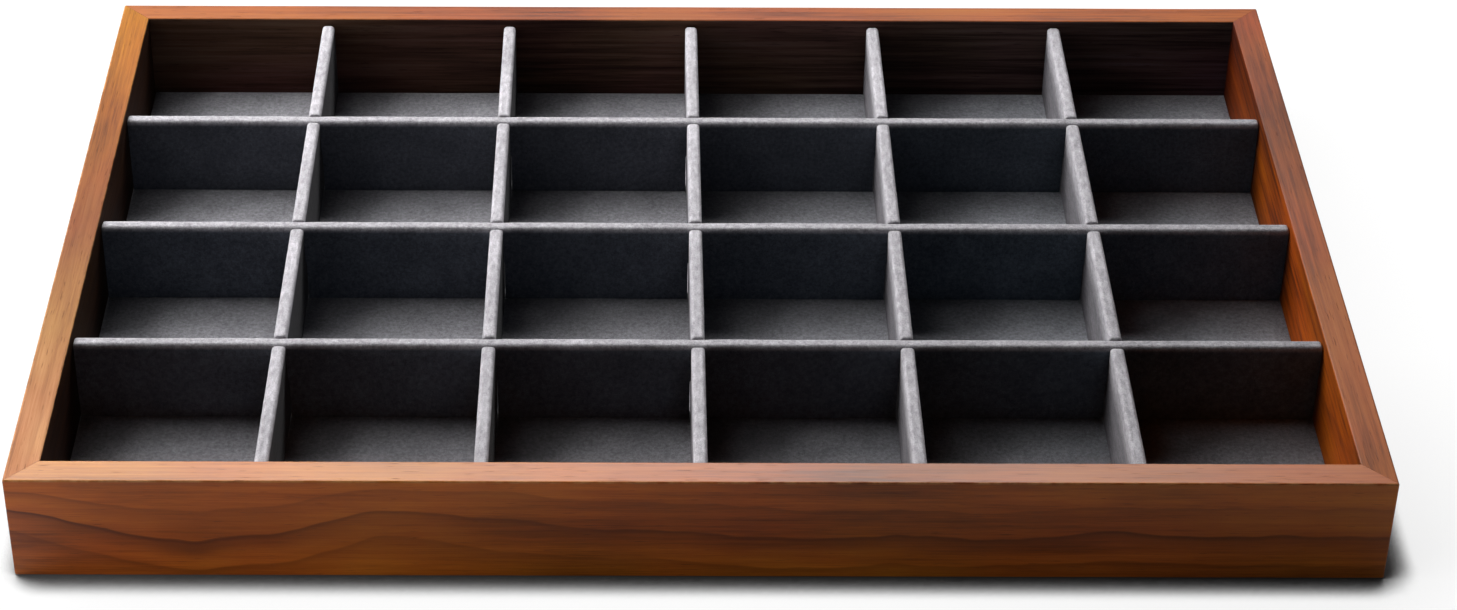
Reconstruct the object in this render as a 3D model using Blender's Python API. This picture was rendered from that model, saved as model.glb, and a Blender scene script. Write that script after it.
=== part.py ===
"""Organiser tray: a mitred wooden tray with a lift-out grid of fabric-covered dividers.

Metres, +Z up, +X along the tray's length and -Y towards its front. The origin is the centre of the
footprint, on the surface that the tray stands on.

The four rails hold a bottom panel in a rabbet. On it lie a card and the fabric that lines the floor.
Five short dividers run from front to back and have slots cut down from their top edges. Three long
dividers run from left to right, have slots cut up from their bottom edges, and drop over the short ones.
"""

import math

import bmesh
import bpy
from mathutils import Vector

# Tray
TRAY_LENGTH = 0.350
TRAY_DEPTH = 0.240
TRAY_HEIGHT = 0.0305
RAIL_THICKNESS = 0.0085
EDGE_RADIUS = 0.0006
FIT_GAP = 0.0003

# Bottom, from the table up
PANEL_RECESS = 0.0005
PANEL_THICKNESS = 0.0025
RABBET_WIDTH = 0.0040
CARD_THICKNESS = 0.0006
LINING_THICKNESS = 0.0005

# Hidden tongue across each mitre
SPLINE_WIDTH = 0.0060
SPLINE_THICKNESS = 0.0015
SPLINE_HEIGHT = 0.0180
SPLINE_INSET = 0.0049

# Divider grid
COLUMNS = 6
ROWS = 4
COLUMN_PITCH = 0.0557
ROW_PITCH = 0.0565
DIVIDER_THICKNESS = 0.0036
DIVIDER_DROP = 0.0018
DIVIDER_END_GAP = 0.0004
COVER_THICKNESS = 0.0005
TOP_RADIUS = 0.0013

# Modelling
ARC_STEPS = 4
CUT_MARGIN = 0.0020
SMOOTH_ANGLE = math.radians(35.0)

# Worked out from the dimensions above
PANEL_TOP = PANEL_RECESS + PANEL_THICKNESS
RABBET_HEIGHT = PANEL_TOP + FIT_GAP
CARD_TOP = RABBET_HEIGHT + CARD_THICKNESS
LINING_BASE = CARD_TOP + FIT_GAP
LINING_TOP = LINING_BASE + LINING_THICKNESS
DIVIDER_BASE = LINING_TOP + FIT_GAP
DIVIDER_TOP = TRAY_HEIGHT - DIVIDER_DROP
LAP_HEIGHT = (DIVIDER_BASE + DIVIDER_TOP) / 2
SLOT_WIDTH = DIVIDER_THICKNESS + 2 * FIT_GAP
INNER_LENGTH = TRAY_LENGTH - 2 * RAIL_THICKNESS
INNER_DEPTH = TRAY_DEPTH - 2 * RAIL_THICKNESS

# Colours are linear. Each finish is (colour, roughness); nothing on the tray is metal.
WALNUT = ((0.270, 0.100, 0.036), 0.38)
BIRCH_PLY = ((0.480, 0.320, 0.190), 0.62)
BEECH = ((0.560, 0.360, 0.210), 0.60)
GREY_CARD = ((0.210, 0.205, 0.200), 0.88)
GREY_BOARD = ((0.260, 0.250, 0.240), 0.90)
GREY_VELVET = ((0.290, 0.285, 0.295), 0.95)


def clear_scene():
    """Removes everything that the scene starts with."""
    for obj in list(bpy.data.objects):
        bpy.data.objects.remove(obj)


def make_material(name, finish):
    """A Principled material from one of the finishes above."""
    colour, roughness = finish
    material = bpy.data.materials.new(name)
    material.use_nodes = True
    shader = material.node_tree.nodes["Principled BSDF"]
    shader.inputs["Base Color"].default_value = (*colour, 1.0)
    shader.inputs["Roughness"].default_value = roughness
    shader.inputs["Metallic"].default_value = 0.0
    return material


def add_object(name, mesh_builder, material=None, location=(0.0, 0.0, 0.0), parent=None):
    """Links an object whose mesh comes from a bmesh, with its normals facing out."""
    bmesh.ops.recalc_face_normals(mesh_builder, faces=mesh_builder.faces)
    mesh = bpy.data.meshes.new(name)
    mesh_builder.to_mesh(mesh)
    mesh_builder.free()
    mesh.shade_smooth()
    mesh.set_sharp_from_angle(angle=SMOOTH_ANGLE)
    obj = bpy.data.objects.new(name, mesh)
    bpy.context.scene.collection.objects.link(obj)
    obj.location = location
    obj.parent = parent
    if material is not None:
        mesh.materials.append(material)
    return obj


def add_empty(name, location, parent=None):
    """A small axis empty that carries the pieces of one body."""
    empty = bpy.data.objects.new(name, None)
    empty.empty_display_size = 0.01
    empty.location = location
    empty.parent = parent
    bpy.context.scene.collection.objects.link(empty)
    return empty


def add_box(builder, low, high):
    """Adds a box with the given lowest and highest corners to a bmesh."""
    low = Vector(low)
    high = Vector(high)
    made = bmesh.ops.create_cube(builder, size=1.0)
    for vert in made["verts"]:
        for axis in range(3):
            share = vert.co[axis] + 0.5
            vert.co[axis] = low[axis] + share * (high[axis] - low[axis])
    return made["verts"]


def box_mesh(low, high, bevel=0.0, segments=2):
    """A bmesh box, with all its edges rounded if a bevel is given."""
    builder = bmesh.new()
    add_box(builder, low, high)
    if bevel > 0.0:
        bmesh.ops.bevel(
            builder,
            geom=list(builder.edges),
            offset=bevel,
            segments=segments,
            profile=0.5,
            affect="EDGES",
        )
    return builder


def arc(centre, radius, start, end, steps=ARC_STEPS):
    """Points of an arc in a profile's plane, with angles in degrees."""
    points = []
    for step in range(steps + 1):
        angle = math.radians(start + (end - start) * step / steps)
        points.append((centre[0] + radius * math.cos(angle), centre[1] + radius * math.sin(angle)))
    return points


def add_cutter(name, builder):
    """An object that only cuts, and isn't part of the tray."""
    cutter = add_object(name, builder)
    cutter.hide_render = True
    cutter.display_type = "WIRE"
    return cutter


def add_boolean(obj, cutter, operation):
    """An exact Boolean modifier on obj."""
    modifier = obj.modifiers.new(operation.lower() + "_" + cutter.name, "BOOLEAN")
    modifier.object = cutter
    modifier.operation = operation
    modifier.solver = "EXACT"


# Rails


def rail_profile():
    """A rail's section as (inward, up) points: oversize outside, inner top edge eased, rabbeted below."""
    outer = -CUT_MARGIN
    points = [(outer, -CUT_MARGIN)]
    points.append((RAIL_THICKNESS - RABBET_WIDTH, -CUT_MARGIN))
    points.append((RAIL_THICKNESS - RABBET_WIDTH, RABBET_HEIGHT))
    points.append((RAIL_THICKNESS, RABBET_HEIGHT))
    centre = (RAIL_THICKNESS - EDGE_RADIUS, TRAY_HEIGHT - EDGE_RADIUS)
    points += arc(centre, EDGE_RADIUS, 0.0, 90.0, 3)
    points.append((centre[0], TRAY_HEIGHT + CUT_MARGIN))
    points.append((outer, TRAY_HEIGHT + CUT_MARGIN))
    return points


def rail_mesh(length, outward):
    """A mitred rail swept along its run. Its ends shorten by as much as a point lies inward."""
    builder = bmesh.new()
    outward = Vector(outward)
    along = Vector((-outward.y, outward.x, 0.0))
    reach = abs(outward.x) * TRAY_LENGTH / 2 + abs(outward.y) * TRAY_DEPTH / 2
    mitre_gap = FIT_GAP / math.sqrt(2.0)
    rings = []
    for end in (-1.0, 1.0):
        ring = []
        for inward, up in rail_profile():
            run = end * (length / 2 - inward - mitre_gap)
            place = along * run + outward * (reach - inward)
            ring.append(builder.verts.new((place.x, place.y, up)))
        rings.append(ring)
    count = len(rings[0])
    for index in range(count):
        after = (index + 1) % count
        builder.faces.new((rings[0][index], rings[0][after], rings[1][after], rings[1][index]))
    builder.faces.new(rings[0])
    builder.faces.new(list(reversed(rings[1])))
    return builder


def spline_mesh(extra):
    """An upright tongue, square to a mitre along the diagonal x = y, grown by extra on every side."""
    builder = bmesh.new()
    half_width = SPLINE_WIDTH / 2 + extra
    half_thickness = SPLINE_THICKNESS / 2 + extra
    half_height = SPLINE_HEIGHT / 2 + extra
    verts = add_box(
        builder,
        (-half_width, -half_thickness, -half_height),
        (half_width, half_thickness, half_height),
    )
    root = math.sqrt(0.5)
    for vert in verts:
        wide, thick, up = vert.co
        vert.co = Vector((root * (wide + thick), root * (thick - wide), up))
    return builder


def build_rails(wood, spline_wood, tray):
    """The four rails and the hidden tongues in their mitres."""
    envelope = add_cutter(
        "frame_envelope",
        box_mesh(
            (-TRAY_LENGTH / 2, -TRAY_DEPTH / 2, 0.0),
            (TRAY_LENGTH / 2, TRAY_DEPTH / 2, TRAY_HEIGHT),
            bevel=EDGE_RADIUS,
            segments=3,
        ),
    )
    sides = {
        "front_rail": (TRAY_LENGTH, (0.0, -1.0, 0.0)),
        "back_rail": (TRAY_LENGTH, (0.0, 1.0, 0.0)),
        "left_rail": (TRAY_DEPTH, (-1.0, 0.0, 0.0)),
        "right_rail": (TRAY_DEPTH, (1.0, 0.0, 0.0)),
    }
    rails = {}
    for name, (length, outward) in sides.items():
        rail = add_object(name, rail_mesh(length, outward), wood, parent=tray)
        add_boolean(rail, envelope, "INTERSECT")
        rails[name] = rail
    for end_name, end in (("front", -1.0), ("back", 1.0)):
        for side_name, side in (("left", -1.0), ("right", 1.0)):
            corner = end_name + "_" + side_name
            centre = (
                side * (TRAY_LENGTH / 2 - SPLINE_INSET),
                end * (TRAY_DEPTH / 2 - SPLINE_INSET),
                TRAY_HEIGHT / 2,
            )
            slot = add_cutter("spline_slot_" + corner, spline_mesh(FIT_GAP))
            spline = add_object("corner_spline_" + corner, spline_mesh(0.0), spline_wood, parent=tray)
            for obj in (slot, spline):
                obj.location = centre
                if side * end < 0.0:
                    obj.rotation_euler = (0.0, 0.0, math.pi / 2)
            add_boolean(rails[end_name + "_rail"], slot, "DIFFERENCE")
            add_boolean(rails[side_name + "_rail"], slot, "DIFFERENCE")


# Bottom


def build_bottom(panel_wood, card, velvet, tray):
    """The bottom panel in its rabbet, and the card and fabric that line the floor."""
    panel_reach_x = INNER_LENGTH / 2 + RABBET_WIDTH - FIT_GAP
    panel_reach_y = INNER_DEPTH / 2 + RABBET_WIDTH - FIT_GAP
    add_object(
        "bottom_panel",
        box_mesh((-panel_reach_x, -panel_reach_y, PANEL_RECESS), (panel_reach_x, panel_reach_y, PANEL_TOP)),
        panel_wood,
        parent=tray,
    )
    reach_x = INNER_LENGTH / 2 - FIT_GAP
    reach_y = INNER_DEPTH / 2 - FIT_GAP
    add_object(
        "lining_card",
        box_mesh((-reach_x, -reach_y, RABBET_HEIGHT), (reach_x, reach_y, CARD_TOP)),
        card,
        parent=tray,
    )
    add_object(
        "floor_lining",
        box_mesh((-reach_x, -reach_y, LINING_BASE), (reach_x, reach_y, LINING_TOP)),
        velvet,
        parent=tray,
    )


# Dividers


def cover_profile():
    """The cover's section as (across, up) points: an upturned U with a rounded top, open below."""
    half = DIVIDER_THICKNESS / 2
    inner_half = half - COVER_THICKNESS
    inner_radius = TOP_RADIUS - COVER_THICKNESS
    up = DIVIDER_TOP - TOP_RADIUS
    points = [(half, DIVIDER_BASE)]
    points += arc((half - TOP_RADIUS, up), TOP_RADIUS, 0.0, 90.0)
    points += arc((TOP_RADIUS - half, up), TOP_RADIUS, 90.0, 180.0)
    points.append((-half, DIVIDER_BASE))
    points.append((-inner_half, DIVIDER_BASE))
    points += arc((TOP_RADIUS - half, up), inner_radius, 180.0, 90.0)
    points += arc((half - TOP_RADIUS, up), inner_radius, 90.0, 0.0)
    points.append((inner_half, DIVIDER_BASE))
    return points


def core_profile():
    """The core board's section as (across, up) points, one gap inside the cover."""
    inset = COVER_THICKNESS + FIT_GAP
    half = DIVIDER_THICKNESS / 2 - inset
    radius = TOP_RADIUS - inset
    up = DIVIDER_TOP - TOP_RADIUS
    points = [(half, DIVIDER_BASE)]
    points += arc((half - radius, up), radius, 0.0, 90.0, 2)
    points += arc((radius - half, up), radius, 90.0, 180.0, 2)
    points.append((-half, DIVIDER_BASE))
    return points


def divider_mesh(profile, length, across_is_x):
    """A divider's section swept along its run, centred on the origin."""
    builder = bmesh.new()
    rings = []
    for end in (-0.5, 0.5):
        ring = []
        for across, up in profile:
            run = end * length
            place = (across, run, up) if across_is_x else (run, across, up)
            ring.append(builder.verts.new(place))
        rings.append(ring)
    count = len(profile)
    for index in range(count):
        after = (index + 1) % count
        builder.faces.new((rings[0][index], rings[0][after], rings[1][after], rings[1][index]))
    builder.faces.new(rings[0])
    builder.faces.new(list(reversed(rings[1])))
    return builder


def centred_places(count, pitch):
    """Evenly pitched positions, centred on zero."""
    return [(index - (count - 1) / 2) * pitch for index in range(count)]


def slot_mesh(places, across_is_x, low, high):
    """A row of cutting boxes for the slots of one kind of divider."""
    builder = bmesh.new()
    for place in places:
        run = (place - SLOT_WIDTH / 2, place + SLOT_WIDTH / 2)
        across = (-DIVIDER_THICKNESS, DIVIDER_THICKNESS)
        if across_is_x:
            add_box(builder, (across[0], run[0], low), (across[1], run[1], high))
        else:
            add_box(builder, (run[0], across[0], low), (run[1], across[1], high))
    return builder


def build_divider(name, location, length, across_is_x, slots, board, velvet, tray):
    """A slotted core board in a slotted fabric cover, both on an empty on the line they lift along."""
    lift = add_empty(name + "_lift", location, tray)
    low, high, places = slots
    cutter = add_cutter(name + "_slots", slot_mesh(places, across_is_x, low, high))
    cutter.location = location
    pieces = (("_core", core_profile(), board), ("_cover", cover_profile(), velvet))
    for ending, profile, material in pieces:
        shape = divider_mesh(profile, length, across_is_x)
        piece = add_object(name + ending, shape, material, parent=lift)
        add_boolean(piece, cutter, "DIFFERENCE")


def build_dividers(board, velvet, tray):
    """Five short dividers slotted from above, and three long ones slotted from below."""
    column_places = centred_places(COLUMNS - 1, COLUMN_PITCH)
    row_places = centred_places(ROWS - 1, ROW_PITCH)
    short_length = INNER_DEPTH - 2 * DIVIDER_END_GAP
    long_length = INNER_LENGTH - 2 * DIVIDER_END_GAP
    from_above = (LAP_HEIGHT - FIT_GAP / 2, DIVIDER_TOP + CUT_MARGIN, row_places)
    from_below = (DIVIDER_BASE - CUT_MARGIN, LAP_HEIGHT + FIT_GAP / 2, column_places)
    for index, place in enumerate(column_places):
        name = "short_divider_" + str(index + 1)
        build_divider(name, (place, 0.0, 0.0), short_length, True, from_above, board, velvet, tray)
    for index, place in enumerate(reversed(row_places)):
        name = "long_divider_" + str(index + 1)
        build_divider(name, (0.0, place, 0.0), long_length, False, from_below, board, velvet, tray)


def main():
    clear_scene()
    walnut = make_material("walnut", WALNUT)
    birch_ply = make_material("birch_ply", BIRCH_PLY)
    beech = make_material("beech", BEECH)
    grey_card = make_material("grey_card", GREY_CARD)
    grey_board = make_material("grey_board", GREY_BOARD)
    grey_velvet = make_material("grey_velvet", GREY_VELVET)
    tray = add_empty("tray", (0.0, 0.0, 0.0))
    build_rails(walnut, beech, tray)
    build_bottom(birch_ply, grey_card, grey_velvet, tray)
    build_dividers(grey_board, grey_velvet, tray)


main()
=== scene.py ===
"""Looks for the organiser tray: lacquered wooden rails and a velvet-covered divider grid on a lined floor.

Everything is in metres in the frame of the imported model: +X along the tray's length, -Y towards its
front, +Z up, with the tray standing on z = 0. Sizes and places come from the frame's nodes.
"""

import math
from typing import NamedTuple

import bmesh
import bpy
import numpy as np
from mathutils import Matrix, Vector, noise


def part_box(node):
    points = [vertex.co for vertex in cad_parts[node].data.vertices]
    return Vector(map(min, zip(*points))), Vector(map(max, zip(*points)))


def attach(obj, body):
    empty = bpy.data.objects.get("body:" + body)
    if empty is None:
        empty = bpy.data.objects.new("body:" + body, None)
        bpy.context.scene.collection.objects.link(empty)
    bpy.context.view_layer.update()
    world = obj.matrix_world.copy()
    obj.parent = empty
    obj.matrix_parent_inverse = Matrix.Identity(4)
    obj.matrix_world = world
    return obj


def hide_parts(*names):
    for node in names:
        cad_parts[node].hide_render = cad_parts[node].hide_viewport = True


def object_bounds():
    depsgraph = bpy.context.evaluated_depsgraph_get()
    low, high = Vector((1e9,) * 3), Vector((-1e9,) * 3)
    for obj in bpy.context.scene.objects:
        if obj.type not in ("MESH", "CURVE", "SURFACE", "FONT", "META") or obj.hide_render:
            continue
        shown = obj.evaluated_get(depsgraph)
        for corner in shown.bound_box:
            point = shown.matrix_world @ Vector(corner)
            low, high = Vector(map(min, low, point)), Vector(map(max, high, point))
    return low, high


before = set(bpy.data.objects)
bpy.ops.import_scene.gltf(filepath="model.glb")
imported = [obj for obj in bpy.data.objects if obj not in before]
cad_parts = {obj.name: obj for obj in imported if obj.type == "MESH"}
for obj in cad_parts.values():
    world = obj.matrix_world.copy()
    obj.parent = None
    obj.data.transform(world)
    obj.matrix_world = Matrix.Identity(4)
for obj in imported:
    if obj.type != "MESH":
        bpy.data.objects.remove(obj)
CAD_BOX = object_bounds()

# The frame's sizes
TRAY_LOW, TRAY_HIGH = CAD_BOX
RAIL_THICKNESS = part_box("front_rail")[1].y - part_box("front_rail")[0].y
LINING_LOW, LINING_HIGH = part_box("floor_lining")
PANEL_LOW, PANEL_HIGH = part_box("bottom_panel")
SHORT_NAMES = ["short_divider_" + str(number) for number in range(1, 6)]
LONG_NAMES = ["long_divider_" + str(number) for number in range(1, 4)]
DIVIDER_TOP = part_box("long_divider_2_cover")[1].z

# Rails: the eased edges with their uneven wear, and the clearances of the joints
EDGE_EASE = 0.00055
EASE_VARIATION = 0.25
WEAR_ALONG, WEAR_UP = 30.0, 20.0
MITRE_SEAM = 0.00004
RABBET_CLEARANCE = 0.0003
POCKET_GROWTH = 0.000255
RAIL_STATIONS = 42

# Divider covers: the folded section, its small lumps, and the stations along it
COVER_THICKNESS = 0.00085
COVER_TOP_RADIUS = 0.0011
COVER_INNER_RADIUS = 0.0007
COVER_SNUG = 0.00005
COVER_REST_GAP = 0.0001
COVER_LUMP = 0.00009
LUMPS_ALONG, LUMPS_UP = 85.0, 60.0
FOLD_WAVER = 0.00010
WAVERS_ALONG = 60.0
FOLD_PINCH = 0.05
STATION_STEP = 0.0016
SMALLEST_STEP = 0.00008

# Half-lap slots, and how the folds sink and round off there
SLOT_HALF_WIDTH = 0.0021
SLOT_GAP = 0.00015
SLOT_OVERRUN = 0.002
SLOT_ROUNDING = 0.0009
SLOT_SINK = 0.6
CROSSING_DIP = 0.00012
CROSSING_DIP_REACH = 0.0028

# Floor lining: a grid of points that rolls down at its edges and swells a little
LINING_OVERLAP = 0.0002
LINING_COLUMNS = 167
LINING_ROWS = 112
LINING_ROLL = 0.0003
LINING_ROLL_REACH = 0.0012
LINING_SWELL = 0.00006
SWELLS_ALONG = 45.0

# Camera: angles in degrees, sensor and lens in millimetres, shift in sensor widths
CAMERA_PLACE = (-0.0155, -0.7731, 0.5369)
CAMERA_PITCH, CAMERA_ROLL, CAMERA_HEADING = 54.25, -0.25, -0.07
CAMERA_SENSOR = 36.0
CAMERA_LENS = 81.56
CAMERA_SHIFT = (0.0529, 0.0411)

# Studio floor: each shadow's reach, and the direction that it looks for shelter in
FLOOR_REACH = 6.0
FLOOR_UP = -0.0002
CONTACT_REACH = 0.0105
CONTACT_TILT = (-0.35, 0.15, 0.92)
GLOOM_REACH = 0.08
GLOOM_TILT = (-0.60, -0.30, 0.74)
GLOOM_DEPTH = 0.19


# Shader helpers


class Nodes:
    """A small wrapper that adds nodes to one material or world and links them."""

    def __init__(self, owner):
        owner.use_nodes = True
        self.tree = owner.node_tree
        self.tree.nodes.clear()

    def add(self, kind, **settings):
        """A new shader node of one kind, with its own settings."""
        node = self.tree.nodes.new("ShaderNode" + kind)
        for key, value in settings.items():
            setattr(node, key, value)
        return node

    def feed(self, socket, value):
        """Links an output to socket, or sets the socket's own value."""
        if isinstance(value, bpy.types.NodeSocket):
            self.tree.links.new(value, socket)
        else:
            socket.default_value = value

    def maths(self, operation, first, second=0.0):
        node = self.add("Math", operation=operation)
        self.feed(node.inputs[0], first)
        self.feed(node.inputs[1], second)
        return node.outputs[0]

    def plus(self, *values):
        total = values[0]
        for value in values[1:]:
            total = self.maths("ADD", total, value)
        return total

    def times(self, *values):
        total = values[0]
        for value in values[1:]:
            total = self.maths("MULTIPLY", total, value)
        return total

    def mix(self, factor, first, second, blend="MIX"):
        node = self.add("Mix", data_type="RGBA", blend_type=blend)
        self.feed(node.inputs[0], factor)
        self.feed(node.inputs[6], first)
        self.feed(node.inputs[7], second)
        return node.outputs[2]

    def shaded(self, colour, shade):
        """A colour with its brightness multiplied by shade."""
        return self.mix(1.0, colour, self.vector(shade, shade, shade), "MULTIPLY")

    def noise(self, vector, scale, detail, roughness):
        """Smooth noise, mostly between 0.3 and 0.7, with about scale bumps to the metre."""
        node = self.add("TexNoise")
        self.feed(node.inputs["Vector"], vector)
        self.feed(node.inputs["Scale"], scale)
        self.feed(node.inputs["Detail"], detail)
        self.feed(node.inputs["Roughness"], roughness)
        return node.outputs[0]

    def ranged(self, value, low, high, to_low=0.0, to_high=1.0, smooth=False):
        """The value taken from the range low to high over to the range to_low to to_high, and held there."""
        node = self.add("MapRange", interpolation_type="SMOOTHSTEP" if smooth else "LINEAR")
        self.feed(node.inputs["Value"], value)
        self.feed(node.inputs["From Min"], low)
        self.feed(node.inputs["From Max"], high)
        self.feed(node.inputs["To Min"], to_low)
        self.feed(node.inputs["To Max"], to_high)
        return node.outputs["Result"]

    def vector(self, x, y, z):
        node = self.add("CombineXYZ")
        for socket, value in zip(node.inputs, (x, y, z)):
            self.feed(socket, value)
        return node.outputs[0]

    def place(self):
        """The point's coordinates in the piece's own space, split into X, Y and Z."""
        coordinates = self.add("TexCoord")
        split = self.add("SeparateXYZ")
        self.feed(split.inputs[0], coordinates.outputs["Object"])
        return split.outputs[0], split.outputs[1], split.outputs[2]

    def along(self, share, colours):
        """A colour that turns evenly through three colours as share goes from 0 to 1."""
        first, second, third = [(*colour, 1.0) for colour in colours]
        early = self.mix(self.ranged(share, 0.0, 0.5), first, second)
        return self.mix(self.ranged(share, 0.5, 1.0), early, third)

    def ramp(self, value, stops):
        """The colour at value among stops, each a (position, colour)."""
        node = self.add("ValToRGB")
        self.feed(node.inputs[0], value)
        elements = node.color_ramp.elements
        while len(elements) < len(stops):
            elements.new(0.5)
        for element, (position, colour) in zip(elements, stops):
            element.position = position
            element.color = (*colour, 1.0)
        return node.outputs[0]

    def finish(self, colour, roughness, bump=None, **inputs):
        """The Principled shader and the output, with a bump height if there is one."""
        shader = self.add("BsdfPrincipled")
        self.feed(shader.inputs["Base Color"], colour)
        self.feed(shader.inputs["Roughness"], roughness)
        for key, value in inputs.items():
            self.feed(shader.inputs[key.replace("_", " ")], value)
        if bump is not None:
            height, distance = bump
            node = self.add("Bump")
            self.feed(node.inputs["Height"], height)
            node.inputs["Strength"].default_value = 1.0
            node.inputs["Distance"].default_value = distance
            self.feed(shader.inputs["Normal"], node.outputs[0])
        output = self.add("OutputMaterial")
        self.feed(output.inputs["Surface"], shader.outputs[0])


# Materials

WHITE = (1.0, 1.0, 1.0, 1.0)

# Wood colours, and what multiplies them
WOOD_DARK = (0.110, 0.026, 0.006)
WOOD_MIDDLE = (0.350, 0.095, 0.020)
WOOD_LIGHT = (0.520, 0.175, 0.045)
PALE_ARRIS = (0.70, 0.36, 0.15)
DARK_ARRIS = (0.07, 0.02, 0.01)
# The next multiplier is painted light: the floor's bounce light on the foot of the rails' outer sides.
FOOT_BOUNCE_LIGHT = (1.32, 1.54, 2.00, 1.0)
RED_DRIFT = (1.03, 0.91, 1.03, 1.0)
YELLOW_DRIFT = (0.98, 1.08, 0.88, 1.0)

# Wood grain: each noise's scale, and how much it is drawn out along the rail
CLOUDS, CLOUD_STRETCH = 34.0, 0.25
STREAKS, STREAK_STRETCH = 620.0, 0.025
FIBRES, FIBRE_STRETCH = 2900.0, 0.030
PORES, PORE_STRETCH = 2300.0, 0.070
DRIFT, DRIFT_STRETCH = 24.0, 0.6
LACQUERED_STREAK, BARE_STREAK = 0.16, 0.34
LACQUERED_RELIEF, BARE_RELIEF = 0.00004, 0.00006
# Painted shade across the middle of the outer sides about the main vein's height, and the heights over which
# the painted bounce light at their foot fades
VEIN_SHADOW = 0.84
VEIN_SHADOW_REACH = 0.010
FOOT_LOW, FOOT_HIGH = 0.002, 0.012

# Growth rings: where their axis lies, the main vein's height, and how far and how often they waver
PITH_DEPTH = 0.035
PITH_AWAY = 0.045
MAIN_VEIN = 0.0145
RINGS_PER_METRE = 150.0
RING_SLANT = 2.2
RING_WANDER, WANDERS = 0.003, 11.0
RING_RIPPLE, RIPPLES = 0.0014, 38.0
RING_PATCHES = 14.0

# Arris lines: how far from the edge they reach, and the scale of their breaks; pale rubbed wear on the front
# and left rails, a plain dark line on the back and right
ARRIS_LINE_FULL, ARRIS_LINE_END = 0.00025, 0.00065
ARRIS_LINE_BREAKS = 160.0

# Velvet: each noise's scale, the painted highlight on a fold with its fall-off to the right, and the painted
# shade on sides that face +X
BRUSH_MARKS = 95.0
TUFTS = 900.0
NAP = 3000.0
VELVET_RELIEF = 0.00022
FOLD_TOP = 0.0008
SHORT_FOLD = 0.0021
FOLD_LIGHT_AT_RIGHT = 0.78
SIDE_PAINTED_SHADE = 0.30

# Board, card and bare wood
BOARD_GREY = (0.20, 0.19, 0.18)
CARD_BROWN = (0.34, 0.31, 0.27)
BEECH = (0.50, 0.31, 0.17)
BIRCH_PLY = (0.56, 0.40, 0.24)
BOARD_RELIEF = 0.00006
PLAIN_WOOD_RELIEF = 0.00004


class Bend(NamedTuple):
    """Lifts the growth rings at one place along the rail, and stains the wood under the main vein there."""
    place: float
    half_width: float
    lift: float
    stain: float


class RailLooks(NamedTuple):
    """One rail's own finish.

    side, rim and inside are tints: three colours along the rail, from its -X or -Y end to its other end.
    They hold the wood's colour and painted light and shade: painted lamp light and sheen on the rim, painted
    shade on the back, left and right outer sides against the lamps on them, and painted shade on the inner
    faces, darkest on the left and back ones. gloss scales the lacquer's shine, and arris is the colour along
    the top's arrises: pale rubbed wear on the front and left rails, a plain dark line on the back and right.
    """
    side: tuple
    rim: tuple
    inside: tuple
    gloss: float
    arris: tuple
    bends: tuple


# The side, rim and inside tints below hold painted light and shade as well as the wood's colour.
FRONT_LOOKS = RailLooks(
    side=((1.12, 0.83, 0.26), (1.07, 0.92, 0.26), (1.06, 0.93, 0.30)),
    rim=((1.10, 1.25, 0.52), (0.98, 0.94, 0.55), (0.91, 0.77, 0.68)),
    inside=((0.30, 0.30, 0.35), (0.30, 0.30, 0.35), (0.30, 0.30, 0.35)),
    gloss=1.15,
    arris=PALE_ARRIS,
    bends=(
        Bend(place=-0.190, half_width=0.034, lift=0.013, stain=0.0),
        Bend(place=-0.129, half_width=0.030, lift=-0.0030, stain=0.95),
        Bend(place=-0.080, half_width=0.022, lift=0.0062, stain=0.3),
    ),
)
BACK_LOOKS = RailLooks(
    side=((0.54, 0.60, 0.80), (0.50, 0.57, 0.78), (0.52, 0.58, 0.80)),
    rim=((0.63, 0.49, 0.20), (0.70, 0.61, 0.42), (0.94, 0.77, 0.44)),
    inside=((0.22, 0.33, 1.00), (0.32, 0.56, 1.80), (0.27, 0.62, 3.00)),
    gloss=0.45,
    arris=DARK_ARRIS,
    bends=(
        Bend(place=-0.060, half_width=0.050, lift=-0.008, stain=0.3),
        Bend(place=0.070, half_width=0.040, lift=-0.006, stain=0.4),
    ),
)
LEFT_LOOKS = RailLooks(
    side=((0.52, 0.62, 0.85), (0.50, 0.58, 0.80), (0.54, 0.64, 0.85)),
    rim=((1.16, 1.90, 3.30), (0.51, 0.53, 0.74), (0.83, 1.16, 0.37)),
    inside=((0.08, 0.09, 0.09), (0.08, 0.09, 0.09), (0.07, 0.08, 0.08)),
    gloss=0.20,
    arris=PALE_ARRIS,
    bends=(
        Bend(place=0.030, half_width=0.040, lift=-0.008, stain=0.5),
        Bend(place=-0.070, half_width=0.025, lift=0.005, stain=0.0),
    ),
)
RIGHT_LOOKS = RailLooks(
    side=((0.84, 0.78, 0.82), (0.80, 0.74, 0.80), (0.82, 0.74, 0.80)),
    rim=((0.89, 0.88, 1.25), (0.76, 0.68, 0.82), (0.77, 0.62, 0.54)),
    inside=((0.70, 0.48, 0.02), (0.76, 0.51, 0.01), (0.20, 0.08, 0.00)),
    gloss=0.45,
    arris=DARK_ARRIS,
    bends=(
        Bend(place=-0.040, half_width=0.035, lift=-0.009, stain=0.4),
        Bend(place=0.060, half_width=0.030, lift=0.006, stain=0.0),
    ),
)


def rail_reach(outward):
    """Half a rail's length, and how far its outer face is from the tray's middle."""
    return (TRAY_HIGH.y, TRAY_HIGH.x) if outward.x else (TRAY_HIGH.x, TRAY_HIGH.y)


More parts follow.
